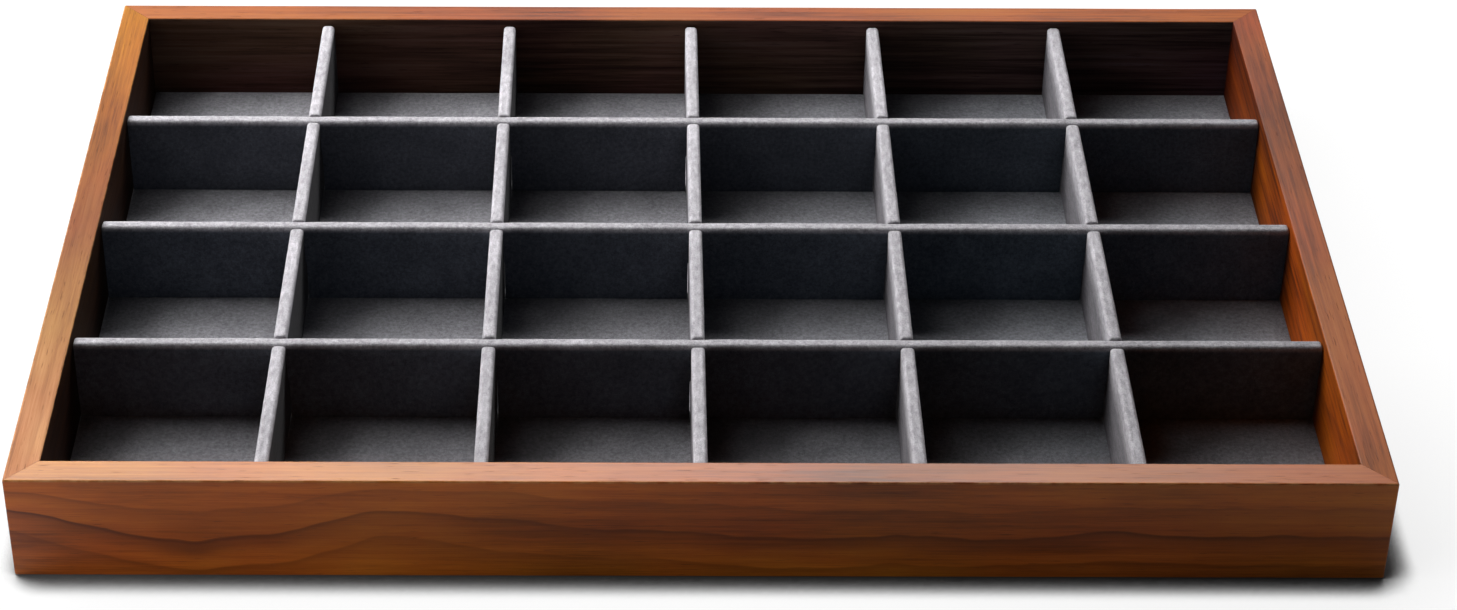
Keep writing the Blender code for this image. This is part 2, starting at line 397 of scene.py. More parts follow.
def wood_material(name, outward, seed, looks, inside=False):
    """Stained, satin-lacquered hardwood whose grain runs along the rail; bare on a rail's inner face. The
    tints of looks paint light and shade into its colour.

    outward is the rail's outward direction, seed moves the pattern and looks is the rail's own RailLooks.
    """
    material = bpy.data.materials.new(name)
    n = Nodes(material)
    x, y, z = n.place()
    run, across = (y, x) if outward.x else (x, y)
    half_run, reach = rail_reach(outward)
    inward = n.maths("SUBTRACT", reach, n.maths("ABSOLUTE", across))
    rim = n.ranged(z, TRAY_HIGH.z - EDGE_EASE, TRAY_HIGH.z - EDGE_EASE / 4)
    share = n.ranged(run, -half_run, half_run)

    streak = BARE_STREAK if inside else LACQUERED_STREAK
    colour, fibres, pore, height = wood_grain(n, run, inward, z, seed, streak)
    colour = n.mix(latewood(n, run, inward, z, rim, seed, looks.bends), colour, (*WOOD_DARK, 1.0))
    colour = n.mix(n.times(pore, 0.55), colour, (*WOOD_DARK, 1.0))
    # The tints paint light and shade: painted shade on an inner face; painted sheen, shade and bounce light
    # on the rim and outer side
    tint = n.along(share, looks.inside) if inside else outer_tint(n, share, z, rim, looks)
    colour = n.mix(1.0, colour, tint, "MULTIPLY")
    colour = n.mix(arris_line(n, run, inward, z), colour, (*looks.arris, 1.0))

    if inside:
        rough = n.ranged(fibres, 0.25, 0.75, 0.62, 0.78)
        n.finish(colour, rough, (height, BARE_RELIEF), Specular_IOR_Level=0.10)
        return material
    rough = n.plus(n.ranged(fibres, 0.25, 0.75, 0.40, 0.50), n.times(pore, 0.15))
    n.finish(colour, rough, (height, LACQUERED_RELIEF),
             Specular_IOR_Level=0.26 * looks.gloss, Coat_Weight=0.12 * looks.gloss, Coat_Roughness=0.34)
    return material


def wood_grain(n, run, inward, z, seed, streak):
    """The wood between the rings: its colour, its fibres, how much a point is a pore, and a bump height."""
    def grain(scale, stretch, detail, roughness):
        return n.noise(n.vector(n.times(run, stretch), n.plus(inward, seed), z), scale, detail, roughness)

    clouds = grain(CLOUDS, CLOUD_STRETCH, 3.0, 0.55)
    streaks = grain(STREAKS, STREAK_STRETCH, 3.0, 0.60)
    fibres = grain(FIBRES, FIBRE_STRETCH, 3.0, 0.65)
    pore = n.ranged(grain(PORES, PORE_STRETCH, 1.0, 0.5), 0.66, 0.74, smooth=True)
    tone = n.plus(n.ranged(clouds, 0.30, 0.70, 0.10, 0.80), n.ranged(streaks, 0.30, 0.70, -streak, streak))
    tone = n.plus(tone, n.ranged(fibres, 0.30, 0.70, -0.14, 0.14))
    colour = n.ramp(tone, [(0.0, WOOD_DARK), (0.45, WOOD_MIDDLE), (1.0, WOOD_LIGHT)])
    drift = n.noise(n.vector(n.times(run, DRIFT_STRETCH), n.plus(inward, seed * 2.0), z), DRIFT, 2.0, 0.5)
    redder = n.mix(1.0, colour, RED_DRIFT, "MULTIPLY")
    yellower = n.mix(1.0, colour, YELLOW_DRIFT, "MULTIPLY")
    colour = n.mix(n.ranged(drift, 0.35, 0.65, smooth=True), redder, yellower)
    height = n.plus(n.times(fibres, 0.5), n.times(streaks, 0.5), n.times(pore, -0.8))
    return colour, fibres, pore, height


def latewood(n, run, inward, z, rim, seed, bends):
    """How dark the growth rings are: a slow fade up to each ring's sharp edge, and the main vein's stain."""
    ring, strength, stain = growth_rings(n, run, inward, z, seed, bends)
    early_fade = n.ranged(ring, 0.20, 0.92, 0.0, 0.62, smooth=True)
    late = n.plus(early_fade, n.ranged(ring, 0.78, 0.93, 0.0, 0.38, smooth=True))
    stain = n.times(stain, n.ranged(ring, 0.25, 0.70, smooth=True), 0.80)
    vein = n.times(late, n.ranged(ring, 0.95, 1.0, 1.0, 0.0), strength, n.ranged(rim, 0.0, 1.0, 1.0, 0.35))
    return n.maths("MAXIMUM", vein, stain)


def outer_tint(n, share, z, rim, looks):
    """The tint of a rail's rim and outer side, with painted shade about the main vein's height and painted
    bounce light at its foot.
    """
    side = n.along(share, looks.side)
    from_vein = n.maths("ABSOLUTE", n.plus(z, -MAIN_VEIN))
    # Painted shade across the middle of the side
    side = n.shaded(side, n.ranged(from_vein, 0.0, VEIN_SHADOW_REACH, VEIN_SHADOW, 1.0))
    # Painted bounce light from the floor at the foot
    foot = n.mix(1.0, side, FOOT_BOUNCE_LIGHT, "MULTIPLY")
    side = n.mix(n.ranged(z, FOOT_LOW, FOOT_HIGH, 1.0, 0.0), side, foot)
    return n.mix(rim, side, n.along(share, looks.rim))


def growth_rings(n, run, inward, z, seed, bends):
    """Where a point lies between two growth rings (0 to 1), how dark that ring is, and its stain.

    The rings are cylinders whose axis lies under the rail. Each bend lifts them, less so towards the top.
    The main vein is the ring that leaves the outer face at MAIN_VEIN: it is the darkest, and its neighbours
    are fainter.
    """
    up = n.plus(z, PITH_DEPTH)
    low_down = n.ranged(z, MAIN_VEIN, TRAY_HIGH.z, 1.0, 0.35)
    stained = 0.0
    for bend in bends:
        share = n.maths("DIVIDE", n.maths("SUBTRACT", run, bend.place), bend.half_width)
        wide = n.maths("EXPONENT", n.times(share, share, -1.0))
        narrow = n.maths("EXPONENT", n.times(share, share, -4.0))
        up = n.plus(up, n.times(wide, low_down, -bend.lift))
        stained = n.plus(stained, n.times(narrow, bend.stain))
    wander = n.noise(n.vector(n.plus(run, seed), n.times(inward, 0.5), n.times(z, 0.5)), WANDERS, 1.0, 0.4)
    ripple = n.noise(n.vector(run, n.plus(inward, seed), n.times(z, 0.6)), RIPPLES, 2.0, 0.45)
    up = n.plus(up, n.ranged(wander, 0.25, 0.75, -RING_WANDER, RING_WANDER))
    up = n.plus(up, n.ranged(ripple, 0.3, 0.7, -RING_RIPPLE, RING_RIPPLE))
    away = n.plus(n.times(inward, RING_SLANT), PITH_AWAY)
    radius = n.maths("SQRT", n.plus(n.times(up, up), n.times(away, away)))
    main_radius = math.hypot(PITH_DEPTH + MAIN_VEIN, PITH_AWAY)
    count = n.times(n.plus(radius, -main_radius), RINGS_PER_METRE)
    ring = n.maths("FRACT", count)
    index = n.maths("FLOOR", count)
    random = n.add("TexWhiteNoise", noise_dimensions="1D")
    n.feed(random.inputs["W"], n.plus(index, seed * 10.0))
    from_main = n.maths("ABSOLUTE", n.plus(index, 1.0))
    near = n.ranged(from_main, 0.0, 2.0, 1.0, 0.1)
    is_main = n.ranged(from_main, 0.4, 0.6, 1.0, 0.0)
    strength = n.maths("MAXIMUM", near, n.ranged(random.outputs[0], 0.2, 0.9, 0.10, 0.60))
    patch = n.noise(n.vector(n.plus(run, seed * 3.0), 0.0, n.times(z, 2.0)), RING_PATCHES, 1.0, 0.4)
    return ring, n.times(strength, n.ranged(patch, 0.35, 0.60, 0.65, 1.0)), n.times(stained, is_main)


def arris_line(n, run, inward, z):
    """How strongly the top's two arrises take the arris colour: a thin, broken line that is stronger on the
    outer one.
    """
    from_top = n.maths("SUBTRACT", TRAY_HIGH.z, z)
    inner = n.maths("SUBTRACT", RAIL_THICKNESS, inward)
    outer_edge = n.ranged(n.plus(from_top, inward), ARRIS_LINE_FULL, ARRIS_LINE_END, 1.0, 0.0, smooth=True)
    inner_edge = n.ranged(n.plus(from_top, inner), ARRIS_LINE_FULL, ARRIS_LINE_END, 1.0, 0.0, smooth=True)
    breaks = n.noise(n.vector(run, inward, 0.0), ARRIS_LINE_BREAKS, 3.0, 0.6)
    broken = n.ranged(breaks, 0.38, 0.60, smooth=True)
    return n.times(n.plus(n.times(outer_edge, 0.45), n.times(inner_edge, 0.15)), broken)


class Velvet(NamedTuple):
    """One cloth. front, back and right tint it towards those sides of the tray: painted shade and light that
    follow how the lamps light the tray.

    fold is a painted highlight on a fold, if the cloth has one. It fades out over fold_depth on a side that
    faces -X, and over SHORT_FOLD on one that faces +X, which gets painted shade. brushed_along under 1 draws
    the tufts out along Y.
    """
    colour: tuple
    front: tuple
    back: tuple
    right: tuple
    sheen: float
    fold: tuple | None = None
    fold_depth: float = SHORT_FOLD
    brushed_along: float = 1.0


# In each cloth, front, back and right are painted shade and light across the tray.
SHORT_VELVET = Velvet(
    colour=(0.118, 0.111, 0.122),
    front=(1.00, 1.00, 1.00),
    back=(1.00, 1.00, 1.00),
    right=(0.84, 0.84, 0.84),
    sheen=0.07,
    # fold and fold_depth paint a highlight far down the lit side that faces -X
    fold=(0.388, 0.373, 0.396),
    fold_depth=0.0090,
    brushed_along=0.35,
)
LONG_VELVET = Velvet(
    colour=(0.092, 0.097, 0.111),
    front=(1.36, 1.50, 1.58),
    back=(0.86, 0.83, 0.86),
    right=(0.78, 0.93, 0.97),
    sheen=0.20,
    # fold is a painted highlight on the top
    fold=(0.350, 0.337, 0.358),
)
LINING_VELVET = Velvet(
    colour=(0.290, 0.285, 0.305),
    front=(0.74, 0.74, 0.75),
    back=(1.08, 1.08, 1.08),
    right=(0.94, 0.99, 1.01),
    sheen=0.20,
)


def velvet_material(name, cloth):
    """Short-pile microfibre: soft mottling, a fine nap, painted shade and light across the tray and, on a
    fold, a painted highlight.
    """
    material = bpy.data.materials.new(name)
    n = Nodes(material)
    x, y, z = n.place()
    combed = n.vector(x, n.times(y, cloth.brushed_along), z)
    brushed = n.noise(combed, BRUSH_MARKS, 3.0, 0.60)
    tufts = n.noise(combed, TUFTS, 2.0, 0.60)
    nap = n.noise(n.vector(x, y, z), NAP, 3.0, 0.70)
    shade = n.times(n.ranged(brushed, 0.30, 0.70, 0.85, 1.15), n.ranged(tufts, 0.28, 0.72, 0.74, 1.28))
    shade = n.times(shade, n.ranged(nap, 0.28, 0.72, 0.66, 1.34))
    right_share = n.ranged(x, 0.0, TRAY_HIGH.x)
    # Painted shade and light across the tray, from the cloth's front, back and right tints
    tint = n.mix(n.ranged(y, TRAY_LOW.y, TRAY_HIGH.y), (*cloth.front, 1.0), (*cloth.back, 1.0))
    tint = n.mix(1.0, tint, n.mix(right_share, WHITE, (*cloth.right, 1.0)), "MULTIPLY")
    base = n.mix(1.0, (*cloth.colour, 1.0), tint, "MULTIPLY")
    if cloth.fold is not None:
        base = folded(n, base, z, right_share, cloth)
    height = n.plus(n.times(nap, 0.6), n.times(tufts, 0.6))
    n.finish(n.shaded(base, shade), 0.92, (height, VELVET_RELIEF),
             Sheen_Weight=cloth.sheen, Sheen_Roughness=0.40, Specular_IOR_Level=0.12)
    return material


def folded(n, base, z, right_share, cloth):
    """The cloth's colour with a painted highlight on its fold, and painted shade on the sides that face +X.
    """
    normal = n.add("SeparateXYZ")
    n.feed(normal.inputs[0], n.add("NewGeometry").outputs["Normal"])
    rightward = normal.outputs[0]
    # Painted shade on the sides that face +X
    base = n.shaded(base, n.ranged(rightward, 0.2, 0.9, 1.0, SIDE_PAINTED_SHADE))
    # Painted highlight on the fold, reaching further down the sides that face -X and fading towards the
    # right
    lowest = n.ranged(rightward, -0.8, 0.8, DIVIDER_TOP - cloth.fold_depth, DIVIDER_TOP - SHORT_FOLD)
    fold = n.ranged(z, lowest, DIVIDER_TOP - FOLD_TOP, smooth=True)
    fold_light_falloff = n.ranged(right_share, 0.0, 1.0, 1.0, FOLD_LIGHT_AT_RIGHT)
    return n.mix(fold, base, n.shaded((*cloth.fold, 1.0), fold_light_falloff))


def board_material(name, colour):
    """Dense grey board with a fibrous cut edge."""
    material = bpy.data.materials.new(name)
    n = Nodes(material)
    x, y, z = n.place()
    fibres = n.noise(n.vector(x, y, n.times(z, 3.0)), 1500.0, 4.0, 0.65)
    clouds = n.noise(n.vector(x, y, z), 90.0, 3.0, 0.5)
    shade = n.times(n.ranged(fibres, 0.3, 0.7, 0.8, 1.15), n.ranged(clouds, 0.3, 0.7, 0.93, 1.05))
    n.finish(n.shaded((*colour, 1.0), shade), 0.9, (fibres, BOARD_RELIEF))
    return material


def plain_wood_material(name, colour, along, flecks):
    """Bare pale wood with fine fibres along one axis ("X", "Y" or "Z") and short darker flecks."""
    material = bpy.data.materials.new(name)
    n = Nodes(material)
    stretched = [n.times(value, 0.03) if axis == along else value for axis, value in zip("XYZ", n.place())]
    fibres = n.noise(n.vector(*stretched), 1700.0, 3.0, 0.6)
    bands = n.noise(n.vector(*stretched), 160.0, 3.0, 0.55)
    fleck = n.ranged(n.noise(n.vector(*stretched), 1100.0, 1.0, 0.5), 0.66, 0.72, smooth=True)
    shade = n.times(n.ranged(fibres, 0.3, 0.7, 0.88, 1.08), n.ranged(bands, 0.3, 0.7, 0.84, 1.10))
    shade = n.times(shade, n.maths("SUBTRACT", 1.0, n.times(fleck, flecks)))
    n.finish(n.shaded((*colour, 1.0), shade), 0.62, (fibres, PLAIN_WOOD_RELIEF))
    return material


# Mesh helpers


def arc(centre, radius, start, turn, steps):
    """Points on an arc that begins at start and goes on through turn, both in degrees, in equal steps."""
    angles = [math.radians(start + turn * step / steps) for step in range(steps + 1)]
    return [(centre[0] + radius * math.cos(angle), centre[1] + radius * math.sin(angle)) for angle in angles]


def mesh_object(name, verts, faces, material=None):
    """Links a mesh object made from points and faces, with its faces turned out."""
    mesh = bpy.data.meshes.new(name)
    mesh.from_pydata([tuple(vert) for vert in verts], [], faces)
    builder = bmesh.new()
    builder.from_mesh(mesh)
    bmesh.ops.recalc_face_normals(builder, faces=builder.faces)
    builder.to_mesh(mesh)
    builder.free()
    obj = bpy.data.objects.new(name, mesh)
    bpy.context.scene.collection.objects.link(obj)
    if material is not None:
        mesh.materials.append(material)
    return obj


def sweep_faces(rings, around):
    """Faces of a closed section of `around` points swept through `rings` stations, with both ends capped."""
    faces = []
    for ring in range(rings - 1):
        for point in range(around):
            after = (point + 1) % around
            low, high = ring * around, (ring + 1) * around
            faces.append((low + point, low + after, high + after, high + point))
    faces.append(tuple(range(around)))
    faces.append(tuple(reversed(range((rings - 1) * around, rings * around))))
    return faces


def soften(obj, degrees=40.0):
    """Smooth shading that keeps sharp arrises, with normals that leave the flats flat."""
    mesh = obj.data
    mesh.shade_smooth()
    mesh.set_sharp_from_angle(angle=math.radians(degrees))
    weighted = obj.modifiers.new("weighted", "WEIGHTED_NORMAL")
    weighted.keep_sharp = True
    weighted.weight = 80


def hand_over(piece, node_name, body):
    """Puts a finished piece in the place of a CAD node and on a body."""
    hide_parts(node_name)
    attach(piece, body)


def cut_away(obj, cutter):
    """Cuts the cutter's shape out of obj for good, and removes the cutter."""
    modifier = obj.modifiers.new("cut", "BOOLEAN")
    modifier.object = cutter
    modifier.operation = "DIFFERENCE"
    modifier.solver = "EXACT"
    graph = bpy.context.evaluated_depsgraph_get()
    graph.update()
    made = bpy.data.meshes.new_from_object(obj.evaluated_get(graph), depsgraph=graph)
    obj.modifiers.clear()
    obj.data = made
    bpy.data.objects.remove(cutter)


def box_cutter(boxes):
    """One object that holds a box for each pair of lowest and highest corners."""
    builder = bmesh.new()
    for low, high in boxes:
        made = bmesh.ops.create_cube(builder, size=1.0)
        for vert in made["verts"]:
            for axis in range(3):
                vert.co[axis] = low[axis] + (vert.co[axis] + 0.5) * (high[axis] - low[axis])
    cutter = mesh_object("cutter", [], [])
    builder.to_mesh(cutter.data)
    builder.free()
    return cutter


def grown_cutter(node, growth):
    """A cutter in the shape of a CAD node, with every corner moved away from its middle by growth."""
    cutter = mesh_object("cutter", [], [])
    cutter.data = node.data.copy()
    middle = sum((vert.co for vert in cutter.data.vertices), Vector()) / len(cutter.data.vertices)
    for vert in cutter.data.vertices:
        away = vert.co - middle
        vert.co += away.normalized() * growth
    return cutter


# Rails


def end_stations(length):
    """Shares of a rail's half run, from -1 to 1, closer together near each eased corner."""
    near = [0.0, 0.25, 0.5, 0.75, 1.0, 1.6, 3.5, 8.0]
    steps = [EDGE_EASE * value / (length / 2) for value in near]
    left = [-1.0 + step for step in steps]
    middle = list(np.linspace(left[-1], -left[-1], RAIL_STATIONS))[1:-1]
    return left + middle + [-value for value in reversed(left)]


def rail_section():
    """A rail's section as (inward, up) points, rounded at the inner arris and still sharp at the outer two.

    Extra points lie close to the outer edges, for rounded_to_box to ease.
    """
    low, high = TRAY_LOW.z, TRAY_HIGH.z
    rabbet_in = RAIL_THICKNESS - (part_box("front_rail")[1].y - PANEL_LOW.y) - RABBET_CLEARANCE
    rabbet_up = PANEL_HIGH.z + RABBET_CLEARANCE
    ease = EDGE_EASE
    thirds = [0.0, ease / 3, 2 * ease / 3, ease]
    points = [(0.0, low + step) for step in thirds]
    points += [(0.0, low + share * (high - low)) for share in (0.2, 0.5, 0.8)]
    points += [(0.0, high - step) for step in reversed(thirds)]
    points += [(step, high) for step in thirds[1:]]
    points += arc((RAIL_THICKNESS - ease, high - ease), ease, start=90.0, turn=-90.0, steps=4)
    points += [(RAIL_THICKNESS, rabbet_up), (rabbet_in, rabbet_up), (rabbet_in, low)]
    points += [(step, low) for step in reversed(thirds[1:])]
    return points


def rounded_to_box(point, ease):
    """Moves a point that lies outside the tray's eased outer box onto it."""
    core = Vector()
    for axis in range(3):
        core[axis] = min(max(point[axis], TRAY_LOW[axis] + ease), TRAY_HIGH[axis] - ease)
    away = point - core
    if away.length > ease:
        return core + away * (ease / away.length)
    return point


def rail_verts(outward, section, seed):
    """The section swept along a rail to its mitres, with its outer edges eased and a little worn."""
    along = Vector((-outward.y, outward.x, 0.0))
    half_run, reach = rail_reach(outward)
    verts = []
    for share in end_stations(2 * half_run):
        for inward, up in section:
            run = share * (half_run - inward - MITRE_SEAM)
            sharp = along * run + outward * (reach - inward) + Vector((0.0, 0.0, up))
            wear = 1.0 + EASE_VARIATION * noise.noise(Vector((run * WEAR_ALONG, up * WEAR_UP, seed)))
            verts.append(rounded_to_box(sharp, EDGE_EASE * wear))
    return verts


def cut_spline_pockets(rail, side):
    """Cuts the pockets for the splines in the mitres at both ends of the front, back, left or right rail."""
    for name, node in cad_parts.items():
        if name.startswith("corner_spline") and side in name:
            cut_away(rail, grown_cutter(node, POCKET_GROWTH))


def bare_inner_face(rail, outward, material):
    """Gives a rail's inner face, above the bottom panel, its own material, whose tint paints shade on it."""
    reach = rail_reach(outward)[1]
    rail.data.materials.append(material)
    for face in rail.data.polygons:
        depth = reach - face.center.dot(outward)
        face.material_index = int(depth > RAIL_THICKNESS - EDGE_EASE / 4 and face.center.z > PANEL_HIGH.z)


def build_rail(name, outward, seed, looks):
    """A mitred rail with eased edges and its spline pockets, in place of the CAD one."""
    outward = Vector(outward)
    section = rail_section()
    verts = rail_verts(outward, section, seed)
    faces = sweep_faces(len(verts) // len(section), len(section))
    wood = wood_material(name + "_wood", outward, seed, looks)
    inside_wood = wood_material(name + "_inside_wood", outward, seed, looks, inside=True)
    rail = mesh_object(name + "_wood", verts, faces, wood)
    cut_spline_pockets(rail, name.replace("_rail", ""))
    bare_inner_face(rail, outward, inside_wood)
    soften(rail)
    hand_over(rail, name, "tray")


# Covers


def cover_section(half, base, top, snug_half):
    """An upturned U as (across, up) points, with a well rounded top, and how many of them are outside."""
    radius = min(COVER_TOP_RADIUS, half)
    up = top - radius
    heights = [base + 0.15 * step * (up - base) for step in range(7)]
    points = [(half, height) for height in heights]
    points += arc((half - radius, up), radius, start=0.0, turn=90.0, steps=6)
    points += arc((radius - half, up), radius, start=90.0, turn=90.0, steps=6)
    points += [(-half, height) for height in reversed(heights)]
    outside = len(points)
    inner_across = snug_half - COVER_INNER_RADIUS
    inner_up = top - COVER_THICKNESS - COVER_INNER_RADIUS
    points.append((-snug_half, base))
    points += arc((-inner_across, inner_up), COVER_INNER_RADIUS, start=180.0, turn=-90.0, steps=3)
    points += arc((inner_across, inner_up), COVER_INNER_RADIUS, start=90.0, turn=-90.0, steps=3)
    points.append((snug_half, base))
    return points, outside


def cover_runs(start, end, crossings):
    """Stations along a cover, closer together next to its ends and to each crossing."""
    close = [0.0, 0.0002, 0.00045, 0.0007, 0.001, 0.0016]
    places = set(np.linspace(start, end, int((end - start) / STATION_STEP)))
    places.update(start + step for step in close)
    places.update(end - step for step in close)
    for crossing in crossings:
        for edge in (-1.0, 1.0):
            places.update(crossing + edge * (SLOT_HALF_WIDTH + step) for step in close)
    ordered = []
    for place in sorted(places):
        if not ordered or place - ordered[-1] > SMALLEST_STEP:
            ordered.append(place)
    return ordered


def cover_drop(run, start, end, crossings, slotted_from_above):
    """How far the cover's fold lies under its full height at a place along it."""
    def rounding(gap):
        share = max(0.0, 1.0 - max(gap, 0.0) / SLOT_ROUNDING)
        return SLOT_ROUNDING * SLOT_SINK * (1.0 - math.sqrt(1.0 - share * share))

    drop = max(rounding(run - start), rounding(end - run))
    for crossing in crossings:
        away = abs(run - crossing)
        if slotted_from_above:
            drop = max(drop, rounding(away - SLOT_HALF_WIDTH))
        else:
            drop += CROSSING_DIP * math.exp(-(away / CROSSING_DIP_REACH) ** 2)
    return drop


def lumpy(across, up, run, drop, rise, seed):
    """A point of the cover's outside, moved by the cloth's small lumps and by the fold's drop at its run.

    rise is the point's share of the cover's height.
    """
    lump = noise.noise(Vector((run * LUMPS_ALONG, up * LUMPS_UP, seed + math.copysign(5.0, across))))
    waver = 1.0 + noise.noise(Vector((run * WAVERS_ALONG, seed, 0.0)))
    across *= 1.0 - FOLD_PINCH * rise * drop / SLOT_ROUNDING
    across += math.copysign(COVER_LUMP * (lump - 0.6) * math.sin(math.pi * min(rise, 0.9)), across)
    up -= (drop + FOLD_WAVER * waver) * rise ** 3
    return across, up


def build_cover(name, velvet, along_y):
    """The velvet cover of one divider, slotted where it crosses the others."""
    axis, side = (1, 0) if along_y else (0, 1)
    low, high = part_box(name + "_cover")
    core_low, core_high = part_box(name + "_core")
    others = LONG_NAMES if along_y else SHORT_NAMES
    crossings = [sum(corner[axis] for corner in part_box(other + "_cover")) / 2 for other in others]
    base = LINING_HIGH.z + COVER_REST_GAP
    snug_half = (core_high[side] - core_low[side]) / 2 + COVER_SNUG
    section, outside = cover_section((high[side] - low[side]) / 2, base, high.z, snug_half)
    stations = cover_runs(low[axis], high[axis], crossings)
    centre = (low[side] + high[side]) / 2
    verts = []
    for run in stations:
        drop = cover_drop(run, low[axis], high[axis], crossings, along_y)
        for index, (across, up) in enumerate(section):
            if index < outside:
                across, up = lumpy(across, up, run, drop, (up - base) / (high.z - base), centre * 37.0)
            place = [0.0, 0.0, up]
            place[axis], place[side] = run, centre + across
            verts.append(place)
    cover = mesh_object(name + "_velvet", verts, sweep_faces(len(stations), len(section)), velvet)
    cut_away(cover, box_cutter(slot_boxes(low, high, axis, side, crossings, along_y)))
    soften(cover, 50.0)
    hand_over(cover, name + "_cover", name)


def slot_boxes(low, high, axis, side, crossings, from_above):
    """The half-lap slots as pairs of corners: from above in a short divider, from below in a long one."""
    middle = (low.z + high.z) / 2
    boxes = []
    for crossing in crossings:
        box_low, box_high = Vector(low), Vector(high)
        box_low[axis], box_high[axis] = crossing - SLOT_HALF_WIDTH, crossing + SLOT_HALF_WIDTH
        box_low[side], box_high[side] = low[side] - SLOT_OVERRUN, high[side] + SLOT_OVERRUN
        if from_above:
            box_low.z, box_high.z = middle - SLOT_GAP, high.z + SLOT_OVERRUN
        else:
            box_low.z, box_high.z = low.z - SLOT_OVERRUN, middle + SLOT_GAP
        boxes.append((box_low, box_high))
    return boxes


# Floor lining


def sheet_faces(columns, rows):
    """Faces of a closed sheet: a grid on top, the same grid below it, and a rim that joins their edges."""
    below = columns * rows
    faces = []
    for row in range(rows - 1):
        for column in range(columns - 1):
            a = row * columns + column
            faces.append((a, a + 1, a + 1 + columns, a + columns))
            faces.append((below + a, below + a + columns, below + a + 1 + columns, below + a + 1))
    rim = list(range(columns))
    rim += [row * columns + columns - 1 for row in range(1, rows)]
    rim += [(rows - 1) * columns + column for column in range(columns - 2, -1, -1)]
    rim += [row * columns for row in range(rows - 2, 0, -1)]
    for index, a in enumerate(rim):
        b = rim[(index + 1) % len(rim)]
        faces.append((b, a, below + a, below + b))
    return faces


def build_lining(velvet):
    """The velvet sheet on the tray's floor, softly rolled down along its edges."""
    low_x, high_x = LINING_LOW.x - LINING_OVERLAP, LINING_HIGH.x + LINING_OVERLAP
    low_y, high_y = LINING_LOW.y - LINING_OVERLAP, LINING_HIGH.y + LINING_OVERLAP
    verts = []
    for row in range(LINING_ROWS):
        for column in range(LINING_COLUMNS):
            x = low_x + (high_x - low_x) * column / (LINING_COLUMNS - 1)
            y = low_y + (high_y - low_y) * row / (LINING_ROWS - 1)
            edge = min(x - low_x, high_x - x, y - low_y, high_y - y)
            roll = LINING_ROLL * math.exp(-edge / LINING_ROLL_REACH)
            swell = LINING_SWELL * (noise.noise(Vector((x * SWELLS_ALONG, y * SWELLS_ALONG, 3.0))) - 1.0)
            verts.append((x, y, LINING_HIGH.z - roll + swell))
    verts += [(x, y, LINING_LOW.z) for x, y, _ in verts]
    lining = mesh_object("floor_lining_velvet", verts, sheet_faces(LINING_COLUMNS, LINING_ROWS), velvet)
    soften(lining, 60.0)
    hand_over(lining, "floor_lining", "tray")


# CAD nodes that stay


def dress_nodes():
    """Gives every CAD node that stays its own material."""
    board = board_material("divider_board", BOARD_GREY)
    card = board_material("lining_card", CARD_BROWN)
    beech = plain_wood_material("beech", BEECH, along="Z", flecks=0.35)
    ply = plain_wood_material("birch_ply", BIRCH_PLY, along="X", flecks=0.20)
    for name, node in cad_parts.items():
        if node.hide_render:
            continue
        material = board
        if name.startswith("corner_spline"):
            material = beech
        elif name == "bottom_panel":
            material = ply
        elif name == "lining_card":
            material = card
        node.data.materials.clear()
        node.data.materials.append(material)


# Stage


def build_world():
    """White behind the object for the camera, and a low band of studio light round it for all else."""
    world = bpy.data.worlds.new("studio")
    bpy.context.scene.world = world
    n = Nodes(world)
    direction = n.add("TexCoord")
    split = n.add("SeparateXYZ")
    n.feed(split.inputs[0], direction.outputs["Generated"])
    band = n.ranged(split.outputs[2], 0.00, 0.22, 0.14, 0.0, smooth=True)
    lit = n.add("Background")
    n.feed(lit.inputs["Strength"], band)
    seen = n.add("Background")
    seen.inputs["Color"].default_value = WHITE
    seen.inputs["Strength"].default_value = 1.0
    path = n.add("LightPath")
    mix = n.add("MixShader")
    n.feed(mix.inputs[0], path.outputs["Is Camera Ray"])
    n.feed(mix.inputs[1], lit.outputs[0])
    n.feed(mix.inputs[2], seen.outputs[0])
    output = n.add("OutputWorld")
    n.feed(output.inputs["Surface"], mix.outputs[0])


def shelter(n, reach, tilt, samples):
    """How open the floor is within reach, towards tilt, from 0 under something to 1 in the clear."""
    node = n.add("AmbientOcclusion", samples=samples)
    node.inputs["Distance"].default_value = reach
    n.feed(node.inputs["Normal"], n.vector(*tilt))
    return node.outputs["AO"]


def floor_glow(n, x, y):
    """How bright the camera sees the floor: white, with a contact shadow and a soft gloom at the right."""
    contact = n.ranged(shelter(n, CONTACT_REACH, CONTACT_TILT, 12), 0.62, 0.90, 0.05, 1.0)
    contact = n.maths("POWER", contact, n.ranged(x, TRAY_LOW.x, TRAY_HIGH.x, 1.12, 1.80))
    gloom = n.ranged(shelter(n, GLOOM_REACH, GLOOM_TILT, 6), 0.66, 0.95, GLOOM_DEPTH, 0.0)
    gloom = n.times(gloom, n.ranged(x, 0.02, 0.18, 0.3, 1.0), n.ranged(y, -0.13, -0.02, 1.0, 0.30))
    far = n.ranged(n.plus(n.times(x, x), n.times(y, y)), 0.04, 0.50, 0.99, 1.0)
    return n.times(contact, n.plus(far, n.times(gloom, -1.0)))


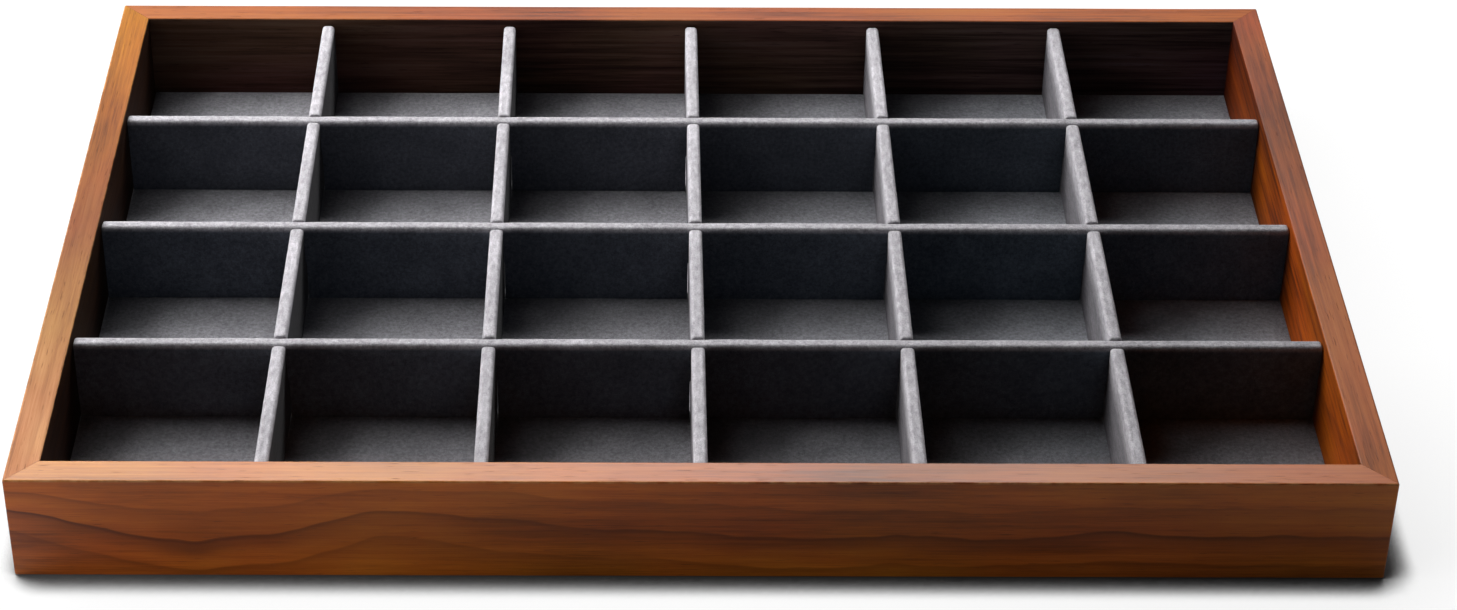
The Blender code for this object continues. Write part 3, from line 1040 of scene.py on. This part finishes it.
def floor_material():
    """A bright sweep: diffuse for the light that falls on it, and lifted to near white for the camera."""
    material = bpy.data.materials.new("studio_floor")
    n = Nodes(material)
    path = n.add("LightPath")
    to_camera = path.outputs["Is Camera Ray"]
    grey = n.ranged(to_camera, 0.0, 1.0, 0.66, 0.07)
    diffuse = n.add("BsdfDiffuse")
    n.feed(diffuse.inputs["Color"], n.vector(grey, grey, grey))
    x, y, _ = n.place()
    glow = n.add("Emission")
    n.feed(glow.inputs["Strength"], n.times(floor_glow(n, x, y), to_camera))
    both = n.add("AddShader")
    n.feed(both.inputs[0], diffuse.outputs[0])
    n.feed(both.inputs[1], glow.outputs[0])
    output = n.add("OutputMaterial")
    n.feed(output.inputs["Surface"], both.outputs[0])
    return material


def build_floor():
    """A wide floor just under the tray."""
    signs = [(-1.0, -1.0), (1.0, -1.0), (1.0, 1.0), (-1.0, 1.0)]
    corners = [(across * FLOOR_REACH, along * FLOOR_REACH, FLOOR_UP) for across, along in signs]
    floor = mesh_object("studio_floor", corners, [(0, 1, 2, 3)], floor_material())


def add_softbox(name, bearing, elevation, distance, size, watts):
    """A rectangular soft light that faces the tray; its bearing is in degrees from +Y towards -X."""
    data = bpy.data.lights.new(name, "AREA")
    data.shape = "RECTANGLE"
    data.size, data.size_y = size
    data.energy = watts
    light = bpy.data.objects.new(name, data)
    bpy.context.scene.collection.objects.link(light)
    bearing, elevation = math.radians(bearing), math.radians(elevation)
    flat = math.cos(elevation)
    direction = Vector((-math.sin(bearing) * flat, math.cos(bearing) * flat, math.sin(elevation)))
    light.visible_camera = False
    light.location = direction * distance
    light.rotation_euler = (-direction).to_track_quat("-Z", "Y").to_euler()
    return light


def build_camera():
    """A camera a little left of the middle, above the front, looking down at about 35 degrees."""
    camera = bpy.data.objects.new("camera", bpy.data.cameras.new("camera"))
    bpy.context.scene.collection.objects.link(camera)
    camera.location = CAMERA_PLACE
    camera.rotation_euler = [math.radians(turn) for turn in (CAMERA_PITCH, CAMERA_ROLL, CAMERA_HEADING)]
    camera.data.sensor_width = CAMERA_SENSOR
    camera.data.lens = CAMERA_LENS
    camera.data.shift_x, camera.data.shift_y = CAMERA_SHIFT
    bpy.context.scene.camera = camera


def build_stage():
    """The white studio: soft boxes at the left, above and behind, and two low cards for the outer faces."""
    bpy.context.scene.view_settings.view_transform = "Standard"
    build_world()
    build_floor()
    add_softbox("softbox_left", bearing=73.0, elevation=34.0, distance=0.65, size=(0.38, 0.40), watts=4.0)
    add_softbox("softbox_high", bearing=65.0, elevation=60.0, distance=0.68, size=(0.40, 0.40), watts=0.6)
    add_softbox("softbox_middle", bearing=36.0, elevation=41.0, distance=0.70, size=(0.42, 0.46), watts=3.4)
    add_softbox("softbox_back", bearing=-6.0, elevation=43.0, distance=0.85, size=(0.52, 0.40), watts=5.6)
    add_softbox("card_front", bearing=138.0, elevation=4.0, distance=0.50, size=(0.34, 0.06), watts=0.30)
    add_softbox("card_right", bearing=268.0, elevation=4.0, distance=0.50, size=(0.30, 0.06), watts=0.30)
    build_camera()


def main():
    """Builds the rails, the velvet and the stage, and dresses the CAD nodes that stay."""
    build_rail("front_rail", outward=(0.0, -1.0, 0.0), seed=1.0, looks=FRONT_LOOKS)
    build_rail("back_rail", outward=(0.0, 1.0, 0.0), seed=2.0, looks=BACK_LOOKS)
    build_rail("left_rail", outward=(-1.0, 0.0, 0.0), seed=3.0, looks=LEFT_LOOKS)
    build_rail("right_rail", outward=(1.0, 0.0, 0.0), seed=4.0, looks=RIGHT_LOOKS)
    short_velvet = velvet_material("short_divider_velvet", SHORT_VELVET)
    long_velvet = velvet_material("long_divider_velvet", LONG_VELVET)
    for name in SHORT_NAMES:
        build_cover(name, short_velvet, along_y=True)
    for name in LONG_NAMES:
        build_cover(name, long_velvet, along_y=False)
    build_lining(velvet_material("lining_velvet", LINING_VELVET))
    dress_nodes()
    build_stage()


main()
